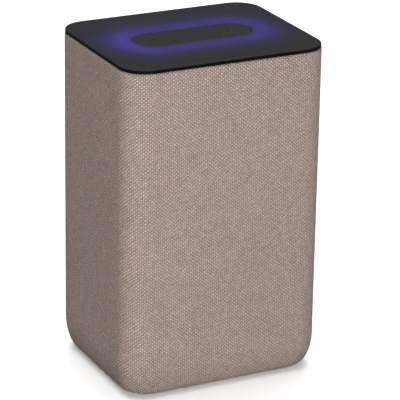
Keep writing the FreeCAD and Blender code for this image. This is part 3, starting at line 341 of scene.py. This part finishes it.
def fibrous(name, colour, roughness, size=0.5, depth=0.05):
    """Pressed paper: short fibres lying every way, with clouded tone."""
    f = Finish(name)
    one_way = f.noise(size * MM, 3.0, (7, 1, 1))
    other_way = f.noise(size * MM, 3.0, (1, 1, 7))
    cloud = f.calc("MULTIPLY", f.noise(3 * MM), 0.2)
    pulp = f.calc("MULTIPLY_ADD", f.calc("ADD", one_way, other_way), 0.4, cloud)
    tone = f.mix(pulp, scaled(colour, 0.6), scaled(colour, 1.4))
    gloss = f.calc("MULTIPLY_ADD", pulp, 0.15, roughness - 0.08)
    return f.surface(tone, gloss, pulp, depth * MM)


def fine_cloth(name, colour, pitch, depth, roughness=0.8):
    """Resin-dipped cloth pressed to shape: two sets of fine threads."""
    f = Finish(name)
    x, _, z = f.split(f.place)
    per_metre = 2 * math.pi / (pitch * MM)
    waves = [f.calc("SINE", f.calc("MULTIPLY", part, per_metre)) for part in (x, z)]
    weave = f.calc("MULTIPLY_ADD", f.calc("MULTIPLY", *waves), 0.5, 0.5)
    resin = f.noise(2.5 * MM, 2.0)
    tone = f.mix(weave, scaled(colour, 0.55), scaled(colour, 1.25))
    tone = f.mix(f.calc("MULTIPLY", resin, 0.35), tone, scaled(colour, 0.75))
    gloss = f.calc("MULTIPLY_ADD", resin, 0.2, roughness - 0.15)
    return f.surface(tone, gloss, weave, depth * MM)


def wound(name, colour, pitch):
    """Enamelled wire in turns, one beside the next, along the coil's axis."""
    f = Finish(name)
    _, y, _ = f.split(f.place)
    turns = f.calc("ABSOLUTE", f.calc("SINE", f.calc("MULTIPLY", y, math.pi / (pitch * MM))))
    tone = f.mix(turns, scaled(colour, 0.35), scaled(colour, 1.2))
    gloss = f.calc("MULTIPLY_ADD", f.noise(2 * MM), 0.15, 0.22)
    return f.surface(tone, gloss, turns, 0.05 * MM, Metallic=0.85)


def circuit_board(name):
    """Green solder mask over copper tracks, which run across in some fields and up in others."""
    f = Finish(name)
    x, y, z = f.split(f.place)
    turned, filled, _ = f.fields(8 * MM)
    upright = f.calc("GREATER_THAN", turned, 0.5)
    height = f.calc("ADD", y, z)
    run = f.calc("MULTIPLY_ADD", f.calc("SUBTRACT", height, x), upright, x)
    step = f.calc("PINGPONG", f.calc("DIVIDE", run, 1.3 * MM), 0.5)
    has_tracks = f.calc("GREATER_THAN", filled, 0.32)
    track = f.calc("MULTIPLY", f.ramp(step, 0.24, 0.3), has_tracks)
    mask = f.mix(track, screen(18, 62, 40), screen(38, 96, 60))
    dust = f.noise(3 * MM, 3.0)
    tone = f.mix(f.calc("MULTIPLY", dust, 0.25), mask, screen(60, 84, 66))
    return f.surface(tone, f.calc("MULTIPLY_ADD", dust, 0.2, 0.26), track, 0.03 * MM)


def glowing_lamp(name):
    """A lamp's pale case around its lit phosphor window."""
    f = Finish(name)
    grain = f.noise(0.4 * MM, 2.0)
    tone = f.mix(grain, screen(206, 204, 190), screen(240, 238, 226))
    top = f.ramp(f.split(f.place)[2], 182.0 * MM, 182.15 * MM, 0.0, 0.8)
    lit = f.calc("MULTIPLY", top, f.calc("MULTIPLY_ADD", grain, 0.3, 0.85))
    gloss = f.calc("MULTIPLY_ADD", grain, 0.2, 0.35)
    light = {"Emission_Color": GLOW, "Emission_Strength": lit}
    return f.surface(tone, gloss, grain, 0.01 * MM, **light)


FINISHES = {
    "wrap_weave": woven_cover(),
    "panel_smoke": light_panel(),
    "pad_soft": soft_pad(),
    "shell_plastic": moulded("shell_plastic", screen(44, 43, 42), 0.6, 0.7, 0.02),
    "diffuser_opal": moulded(
        "diffuser_opal", screen(225, 225, 228), 0.5, 0.6, 0.01, 0.04, Subsurface_Weight=0.3
    ),
    "reflector_white": moulded("reflector_white", screen(235, 235, 232), 0.4, 0.8, 0.008, 0.05),
    "board_green": circuit_board("board_green"),
    "lamp_package": glowing_lamp("lamp_package"),
    "mic_can": metal("mic_can", screen(206, 190, 150), 0.35),
    "foam_black": moulded("foam_black", screen(36, 36, 37), 0.95, 0.6, 0.25, 0.3),
    "box_plastic": moulded("box_plastic", screen(30, 30, 31), 0.55, 0.6, 0.03),
    "frame_plastic": moulded("frame_plastic", screen(27, 27, 28), 0.5, 0.35, 0.014),
    "foot_rubber": moulded("foot_rubber", screen(38, 38, 39), 0.85, 0.5, 0.04, 0.2),
    "screw_zinc": metal("screw_zinc", screen(178, 182, 186), 0.36, (1, 1, 1)),
    "basket_steel": moulded("basket_steel", screen(34, 34, 36), 0.45, 0.5, 0.015),
    "roll_rubber": moulded("roll_rubber", screen(24, 24, 25), 0.6, 0.7, 0.012, 0.2),
    "cone_paper": fibrous("cone_paper", screen(42, 40, 38), 0.85),
    "cap_paper": fibrous("cap_paper", screen(34, 33, 32), 0.7, 0.35, 0.03),
    "coil_copper": wound("coil_copper", screen(196, 112, 62), 0.22),
    "spider_cloth": fine_cloth("spider_cloth", screen(196, 148, 74), 0.6, 0.08),
    "motor_steel": metal("motor_steel", screen(150, 152, 156), 0.4, (1, 1, 6)),
    "ferrite": moulded("ferrite", screen(52, 51, 52), 0.7, 0.5, 0.03, 0.2),
    "neodymium": metal("neodymium", screen(196, 196, 192), 0.24, (1, 1, 1)),
    "dome_silk": fine_cloth("dome_silk", screen(38, 36, 36), 0.3, 0.02, 0.6),
    "plate_aluminium": metal("plate_aluminium", screen(190, 192, 196), 0.38, (1, 1, 30)),
    "weight_steel": metal("weight_steel", screen(140, 142, 146), 0.45, (1, 10, 1)),
    "sink_black": metal("sink_black", screen(46, 46, 48), 0.5, (1, 1, 14)),
    "can_tin": metal("can_tin", screen(186, 186, 180), 0.34, (8, 1, 1)),
    "inductor_ferrite": moulded("inductor_ferrite", screen(64, 62, 62), 0.6, 0.4, 0.02, 0.2),
    "capacitor_sleeve": moulded("capacitor_sleeve", screen(36, 44, 74), 0.4, 0.8, 0.006),
    "socket_nylon": moulded("socket_nylon", screen(220, 216, 200), 0.5, 0.5, 0.01, 0.06),
    "jack_plastic": moulded("jack_plastic", screen(26, 26, 27), 0.5, 0.4, 0.012),
    "pin_nickel": metal("pin_nickel", screen(200, 198, 190), 0.28, (1, 8, 1)),
    "lead_sleeve": moulded("lead_sleeve", screen(150, 34, 32), 0.5, 0.5, 0.01),
    "ribbon_film": moulded("ribbon_film", screen(206, 148, 70), 0.35, 0.6, 0.006),
}

for node in frame["nodes"].values():
    for place in node.material_slots:
        place.material = FINISHES[place.material.name.split(".")[0]]


# ---------------------------------------------------------------- shapes


def smooth_step(value, low, high):
    part = min(max((value - low) / (high - low), 0.0), 1.0)
    return part * part * (3 - 2 * part)


def new_piece(name, points, faces, finish):
    """A smooth mesh piece, its points in millimetres, with the finish and the slot of one name."""
    mesh = bpy.data.meshes.new(name)
    mesh.from_pydata([Vector(p) * MM for p in points], [], faces)
    mesh.polygons.foreach_set("use_smooth", [True] * len(mesh.polygons))
    mesh.materials.append(FINISHES[finish])
    piece = bpy.data.objects.new(name, mesh)
    bpy.context.scene.collection.objects.link(piece)
    return piece


# The cloth goes over the shell, in over its upper edge and in beneath its lower edge. Its two ends
# meet in one upright seam, in the middle of the back. All in millimetres. The seam's steps are
# where the rows of points stand on either side of it, and the patch is half the height of the part
# of the cloth that is laid out around the inlet's hole.
HALF_WIDTH, HALF_DEPTH = 60.0, 48.5
CORNER = 15.0
CLOTH = 0.7
LIP_INSET, LIP_LEVEL, LIP_FOLD = 3.0, 187.9, 1.0
CURVE_INSET, CURVE_HEIGHT, HEM_LEVEL = 6.0, 18.8, 1.0
HEM_INSET, HEM_CORNER = 10.0, 10.0
INLET_HEIGHT, INLET_HOLE = 29.0, 8.6
SEAM_STEPS = (0.02, 0.3, 0.6, 0.9, 1.4, 2.1, 3.0, 4.0, 5.2, 6.6, 8.2, 10.0, 12.0, 14.0)
SEAM_BAND, SEAM_GROOVE = 0.16, 0.5
PLEATS, PLEAT_HEIGHT = 7, 0.24
PATCH = 13


def round_steps():
    """Places round the cloth, from the seam to the seam again: (corner x, corner y, angle)."""
    straight = HALF_WIDTH - CORNER
    half = [x / straight for x in SEAM_STEPS]
    half += [half[-1] + (1 - half[-1]) * k / 18 for k in range(1, 18)]
    places = [(x, 1.0, 90.0) for x in half]
    turn, side, front = 32, 40, 54
    places += [(1.0, 1.0, 90 - 90 * k / turn) for k in range(turn)]
    places += [(1.0, 1 - 2 * k / side, 0.0) for k in range(side)]
    places += [(1.0, -1.0, -90 * k / turn) for k in range(turn)]
    places += [(1 - 2 * k / front, -1.0, -90.0) for k in range(front)]
    places += [(-1.0, -1.0, -90 - 90 * k / turn) for k in range(turn)]
    places += [(-1.0, -1 + 2 * k / side, -180.0) for k in range(side)]
    places += [(-1.0, 1.0, -180 - 90 * k / turn) for k in range(turn)]
    places += [(-1.0, 1.0, -270.0)] + [(-x, 1.0, -270.0) for x in reversed(half)]
    return places


def down_steps():
    """Places down the cloth: (inset, corner radius, level, how far it faces out, and up)."""
    insets = [LIP_INSET - 0.5 * k for k in range(4)]
    rows = [(inset, CORNER - inset, LIP_LEVEL, 0.0, 1.0) for inset in insets]
    for k in range(7):
        a = math.radians(90 - 15 * k)
        inset = LIP_FOLD * (1 - math.cos(a))
        level = LIP_LEVEL - LIP_FOLD * (1 - math.sin(a))
        rows.append((inset, CORNER - inset, level, math.cos(a), math.sin(a)))
    top, low = LIP_LEVEL - LIP_FOLD, HEM_LEVEL + CURVE_HEIGHT
    count = 78
    rows += [(0.0, CORNER, top - (top - low) * k / count, 1.0, 0.0) for k in range(1, count)]
    turns = 26
    for k in range(turns + 1):
        a = math.radians(90 * k / turns)
        inset = CURVE_INSET * (1 - math.cos(a))
        level = HEM_LEVEL + CURVE_HEIGHT * (1 - math.sin(a))
        out, up = CURVE_HEIGHT * math.cos(a), -CURVE_INSET * math.sin(a)
        size = math.hypot(out, up)
        rows.append((inset, CORNER, level, out / size, up / size))
    for k in range(1, 7):
        part = k / 6
        inset = CURVE_INSET + (HEM_INSET - CURVE_INSET) * part
        rows.append((inset, CORNER + (HEM_CORNER - CORNER) * part, HEM_LEVEL, 0.0, -1.0))
    return rows


def cloth_cover():
    around, rows = round_steps(), down_steps()
    flat_round = [0.0]
    for (ax, ay, aa), (bx, by, ba) in zip(around, around[1:]):
        run = abs(ax - bx) * (HALF_WIDTH - CORNER) + abs(ay - by) * (HALF_DEPTH - CORNER)
        flat_round.append(flat_round[-1] + run + math.radians(abs(aa - ba)) * CORNER)
    flat_down = [0.0]
    for before, after in zip(rows, rows[1:]):
        flat_down.append(flat_down[-1] + math.dist((before[0], before[2]), (after[0], after[2])))
    girth = flat_round[-1]

    points, weave, faces = [], [], []

    def lift(from_seam, angle, level, out):
        """How far the cloth stands proud: its ends turned in at the seam, and the gathers."""
        band = SEAM_BAND * (1 - smooth_step(from_seam, 3.2, 4.4))
        groove = SEAM_GROOVE * (1 - smooth_step(from_seam, 0.0, 0.9))
        into_corner = (angle % 90) / 90
        fold = math.cos(2 * math.pi * PLEATS * into_corner) * math.sin(math.pi * into_corner)
        gather = PLEAT_HEIGHT * fold * (1 - smooth_step(level, 1.2, 9.0))
        return (band - groove) * max(out, 0.35) + gather

    def add(x, y, level, out, up, angle, s, t):
        from_seam = min(s, girth - s)
        rise = lift(from_seam, angle, level, out)
        a = math.radians(angle)
        proud = (rise * out * math.cos(a), rise * out * math.sin(a), rise * up)
        points.append(tuple(v + more for v, more in zip((x, y, level), proud)))
        weave.append((s * MM, t * MM, 0.0))
        return len(points) - 1

    grid = []
    for (inset, radius, level, out, up), t in zip(rows, flat_down):
        line = []
        for (cx, cy, angle), s in zip(around, flat_round):
            a = math.radians(angle)
            x = cx * (HALF_WIDTH - inset - radius) + radius * math.cos(a)
            y = cy * (HALF_DEPTH - inset - radius) + radius * math.sin(a)
            line.append(add(x, y, level, out, up, angle, s, t))
        grid.append(line)

    # The hole for the power inlet takes the place of a patch on either side of the seam.
    levels = [row[2] for row in rows]
    first = max(k for k, level in enumerate(levels) if level > INLET_HEIGHT + PATCH)
    last = min(k for k, level in enumerate(levels) if level < INLET_HEIGHT - PATCH and k > first)
    wide = len(SEAM_STEPS) - 1
    count = len(around)
    for r in range(len(rows) - 1):
        for c in range(count - 1):
            in_patch = first <= r < last and (c < wide or c >= count - 1 - wide)
            if not in_patch:
                faces.append((grid[r][c], grid[r][c + 1], grid[r + 1][c + 1], grid[r + 1][c]))

    def surface_at(level):
        """The cloth's inset and facing at a level of the back wall or the curve beneath it."""
        sine = max(1 - (level - HEM_LEVEL) / CURVE_HEIGHT, 0.0)
        cosine = math.sqrt(1 - sine * sine)
        out, up = CURVE_HEIGHT * cosine, -CURVE_INSET * sine
        size = math.hypot(out, up)
        return CURVE_INSET * (1 - cosine), out / size, up / size

    def down_at(level):
        k = next(k for k in range(first, last + 2) if rows[k][2] <= level)
        part = (rows[k - 1][2] - level) / (rows[k - 1][2] - rows[k][2])
        return flat_down[k - 1] + part * (flat_down[k] - flat_down[k - 1])

    rings = 7
    for side in (1, -1):
        column = (lambda c: c) if side == 1 else (lambda c: count - 1 - c)
        border = [(first, c) for c in range(wide)] + [(r, wide) for r in range(first, last)]
        border += [(last, c) for c in range(wide, -1, -1)]
        outer = [grid[r][column(c)] for r, c in border]
        edge = [(SEAM_STEPS[c], rows[r][2]) for r, c in border]
        angles = [math.atan2(level - INLET_HEIGHT, x) for x, level in edge]
        for ring in range(1, rings + 1):
            part = (ring / rings) ** 0.85
            inner = []
            for (x, level), angle in zip(edge, angles):
                hole_x = INLET_HOLE * math.cos(angle)
                hole_level = INLET_HEIGHT + INLET_HOLE * math.sin(angle)
                px, pz = x + (hole_x - x) * part, level + (hole_level - level) * part
                inset, out, up = surface_at(pz)
                s = px if side == 1 else girth - px
                inner.append(add(side * px, HALF_DEPTH - inset, pz, out, up, 90.0, s, down_at(pz)))
            for k in range(len(border) - 1):
                quad = (outer[k], outer[k + 1], inner[k + 1], inner[k])
                faces.append(quad if side == 1 else tuple(reversed(quad)))
            outer = inner

    used = sorted({p for face in faces for p in face})
    place = {old: new for new, old in enumerate(used)}
    faces = [tuple(place[p] for p in face) for face in faces]
    cloth = new_piece("fabric_cover_cloth", [points[p] for p in used], faces, "wrap_weave")
    lie = cloth.data.attributes.new("weave", "FLOAT_VECTOR", "POINT")
    lie.data.foreach_set("vector", [v for p in used for v in weave[p]])
    body = cloth.modifiers.new("thickness", "SOLIDIFY")
    body.thickness = CLOTH * MM
    body.offset = -1
    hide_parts("fabric_cover")
    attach(cloth, "cabinet")


cloth_cover()


# ---------------------------------------------------------------- soft parts around the cones


def thick_line(line, thickness):
    """A closed section around a line of (radius, height) points."""
    front, back = [], []
    for k, (r, h) in enumerate(line):
        ahead, behind = line[min(k + 1, len(line) - 1)], line[max(k - 1, 0)]
        dr, dh = ahead[0] - behind[0], ahead[1] - behind[1]
        size = math.hypot(dr, dh)
        side = (-dh / size * thickness / 2, dr / size * thickness / 2)
        front.append((r + side[0], h + side[1]))
        back.append((r - side[0], h - side[1]))
    return front + back[::-1]


def rolled(inner, outer, middle, base, radius, thickness):
    """A half roll between two flat lips, as a thick line."""
    lip = base + thickness / 2
    lean = math.asin(thickness / 2 / radius)
    first, final = middle - radius * math.cos(lean), middle + radius * math.cos(lean)
    line = [(inner + (first - inner) * k / 3, lip) for k in range(3)]
    turns = 20
    for k in range(turns + 1):
        a = math.pi - lean - (math.pi - 2 * lean) * k / turns
        line.append((middle + radius * math.cos(a), base + radius * math.sin(a)))
    line += [(final + (outer - final) * k / 3, lip) for k in range(1, 4)]
    return thick_line(line, thickness)


def follower(node, finish, joint, section, centre, axis, across, straight, grip, rest):
    """A flexible ring around a moving part, made as one fixed piece. How far each point would move
    with the part, fully within grip and not at all past rest, is worked out but not used.

    It runs round an upright stadium with that straight length, or round a circle where it is 0.
    """
    middle, axis, across = Vector(centre), Vector(axis), Vector(across)
    up = Vector((0, 0, 1))
    per_end = 56
    stations = []
    for end in (1, -1):
        for k in range(per_end + (1 if straight else 0)):
            a = math.pi * k / per_end + (0 if end == 1 else math.pi)
            stations.append((end * straight / 2, a))
    points, moves, faces = [], [], []
    for shift, a in stations:
        for r, h in section:
            sideways, upward = r * math.cos(a), shift + r * math.sin(a)
            points.append(middle + axis * h + across * sideways + up * upward)
            moves.append(1 - smooth_step(r, grip, rest))
    n, m = len(section), len(stations)
    for s in range(m):
        for k in range(n):
            a, b = s * n + k, s * n + (k + 1) % n
            c, d = (s + 1) % m * n + (k + 1) % n, (s + 1) % m * n + k
            faces.append((a, b, c, d))
    piece = new_piece(f"{node}_flexing", points, faces, finish)
    tidy_normals(piece.data)
    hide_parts(node)
    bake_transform(piece)


def tidy_normals(mesh):
    """Turns every face outward."""
    shape = bmesh.new()
    shape.from_mesh(mesh)
    bmesh.ops.recalc_face_normals(shape, faces=shape.faces)
    shape.to_mesh(mesh)
    shape.free()


JOINTS = {joint["name"]: joint for joint in frame["joints"]}
ROUND = 0
LEFT, RIGHT = (-1, 0, 0), (1, 0, 0)
FORWARD, BACKWARD = (0, -1, 0), (0, 1, 0)
WOOFER, TWEETER = (0, -37.5, 66), (0, -37, 132)
RADIATOR_X, RADIATOR_Y, RADIATOR_Z, RADIATOR_STRAIGHT = 50, -3, 90, 46
SPIDER_INNER, SPIDER_OUTER, SPIDER_LEVEL, SPIDER_SHEET = 10.3, 27.8, -11.25, 0.45
SPIDER_WAVE, SPIDER_PITCH, SPIDER_STEPS = 0.8, 2.8, 88


def corrugated():
    """The spider's section: flat where it is glued, and waves between."""
    line = []
    for k in range(SPIDER_STEPS + 1):
        r = SPIDER_INNER + (SPIDER_OUTER - SPIDER_INNER) * k / SPIDER_STEPS
        swell = smooth_step(r, 11.6, 12.8) * (1 - smooth_step(r, 19.8, 21.2))
        wave = math.cos(2 * math.pi * (r - 12.8) / SPIDER_PITCH)
        line.append((r, SPIDER_LEVEL + SPIDER_WAVE * swell * wave))
    return thick_line(line, SPIDER_SHEET)


def soft_rings():
    stroke = JOINTS["woofer_stroke"]
    roll = rolled(29.0, 37.6, 32.9, 1.2, 2.1, 0.5)
    where = (WOOFER, FORWARD, RIGHT, ROUND)
    follower("woofer_surround", "roll_rubber", stroke, roll, *where, 30.8, 35.0)
    follower("woofer_spider", "spider_cloth", stroke, corrugated(), *where, 11.6, 21.2)

    stroke = JOINTS["tweeter_stroke"]
    roll = rolled(9.2, 13.4, 10.3, -0.3, 0.85, 0.3)
    where = (TWEETER, FORWARD, RIGHT, ROUND)
    follower("tweeter_surround", "dome_silk", stroke, roll, *where, 9.45, 11.15)

    roll = rolled(13.4, 20.7, 17.2, -2.8, 2.1, 0.5)
    for side, outward in (("left", LEFT), ("right", RIGHT)):
        stroke = JOINTS[f"{side}_radiator_stroke"]
        centre = (outward[0] * RADIATOR_X, RADIATOR_Y, RADIATOR_Z)
        where = (centre, outward, BACKWARD, RADIATOR_STRAIGHT)
        follower(f"{side}_radiator_surround", "roll_rubber", stroke, roll, *where, 15.1, 19.3)


soft_rings()


# ---------------------------------------------------------------- studio


FLOOR_HALF, FLOOR_CELLS = 12.0, 12
SPEAKER_MIDDLE = (0, 0, 0.095)


def studio_floor():
    """A wide plain floor. It throws no light back onto the speaker and isn't mirrored in it."""
    f = Finish("studio_floor")
    cloud = f.noise(0.4, 2.0)
    paper = f.mix(cloud, (0.88, 0.88, 0.88, 1), (0.92, 0.92, 0.92, 1))
    grain = f.noise(1.5 * MM, 2.0)
    roughness = f.calc("MULTIPLY_ADD", grain, 0.1, 0.85)
    f.surface(paper, roughness, grain, 0.02 * MM, Specular_IOR_Level=0.1)
    cells, row = FLOOR_CELLS, FLOOR_CELLS + 1
    marks = [FLOOR_HALF * (2 * k / cells - 1) for k in range(row)]
    points = [(x, y, 0) for y in marks for x in marks]
    faces = [
        (j * row + i, j * row + i + 1, (j + 1) * row + i + 1, (j + 1) * row + i)
        for j in range(cells)
        for i in range(cells)
    ]
    mesh = bpy.data.meshes.new("studio_floor")
    mesh.from_pydata(points, [], faces)
    mesh.materials.append(f.material)
    floor = bpy.data.objects.new("studio_floor", mesh)
    bpy.context.scene.collection.objects.link(floor)
    floor.visible_diffuse = False
    floor.visible_glossy = False


def soft_light(name, place, watts, size):
    """A square soft box aimed at the middle of the speaker. Nothing mirrors it."""
    lamp = bpy.data.lights.new(name, "AREA")
    lamp.shape = "RECTANGLE"
    lamp.size = lamp.size_y = size
    lamp.energy = watts
    box = bpy.data.objects.new(name, lamp)
    box.location = place
    box.visible_glossy = False
    aim = Vector(SPEAKER_MIDDLE) - Vector(place)
    box.rotation_euler = aim.to_track_quat("-Z", "Y").to_euler()
    bpy.context.scene.collection.objects.link(box)


def ceiling_light():
    """Even, very soft light from the whole ceiling, a little from behind."""
    lamp = bpy.data.lights.new("top_light", "SUN")
    lamp.energy = 3.1
    lamp.angle = math.radians(50)
    sky = bpy.data.objects.new("top_light", lamp)
    sky.location = (0, 0, 2)
    sky.rotation_euler = (math.radians(-10), 0, 0)
    bpy.context.scene.collection.objects.link(sky)


def studio():
    studio_floor()
    soft_light("key_light", (-0.49, -1.075, 0.44), 16.0, 0.45)
    ceiling_light()
    soft_light("side_light", (1.3, -0.3, 0.5), 5, 0.8)
    soft_light("back_light", (0.9, 1.5, 1.2), 16, 1.4)
    world = bpy.data.worlds.new("studio_air")
    world.use_nodes = True
    air = world.node_tree.nodes["Background"]
    air.inputs["Color"].default_value = (1, 1, 1, 1)
    air.inputs["Strength"].default_value = 0.13
    bpy.context.scene.world = world
    bpy.context.scene.view_settings.view_transform = "Standard"


# The view, fitted to the speaker's outline: degrees, millimetres of focal length, then metres.
AZIMUTH, ELEVATION, ROLL, FOCAL_LENGTH = -26.81, 20.99, 0.97, 219.4
DISTANCE, ASIDE, BELOW = 1.3628, 0.00564, 0.00124


def camera():
    """A long lens, a little above the speaker and to its left."""
    azimuth, elevation, roll = (math.radians(v) for v in (AZIMUTH, ELEVATION, ROLL))
    level = math.cos(elevation)
    back = Vector((math.sin(azimuth) * level, -math.cos(azimuth) * level, math.sin(elevation)))
    right = Vector((math.cos(azimuth), math.sin(azimuth), 0))
    up = back.cross(right)
    low, high = cad_bounds
    eye = (low + high) / 2 + right * ASIDE - up * BELOW + back * DISTANCE
    x_axis = right * math.cos(roll) + up * math.sin(roll)
    y_axis = up * math.cos(roll) - right * math.sin(roll)
    turned = Matrix((x_axis, y_axis, back)).transposed()
    lens = bpy.data.cameras.new("camera")
    lens.lens = FOCAL_LENGTH
    lens.sensor_width = 36
    view = bpy.data.objects.new("camera", lens)
    view.matrix_world = Matrix.Translation(eye) @ turned.to_4x4()
    bpy.context.scene.collection.objects.link(view)
    bpy.context.scene.camera = view


studio()
camera()
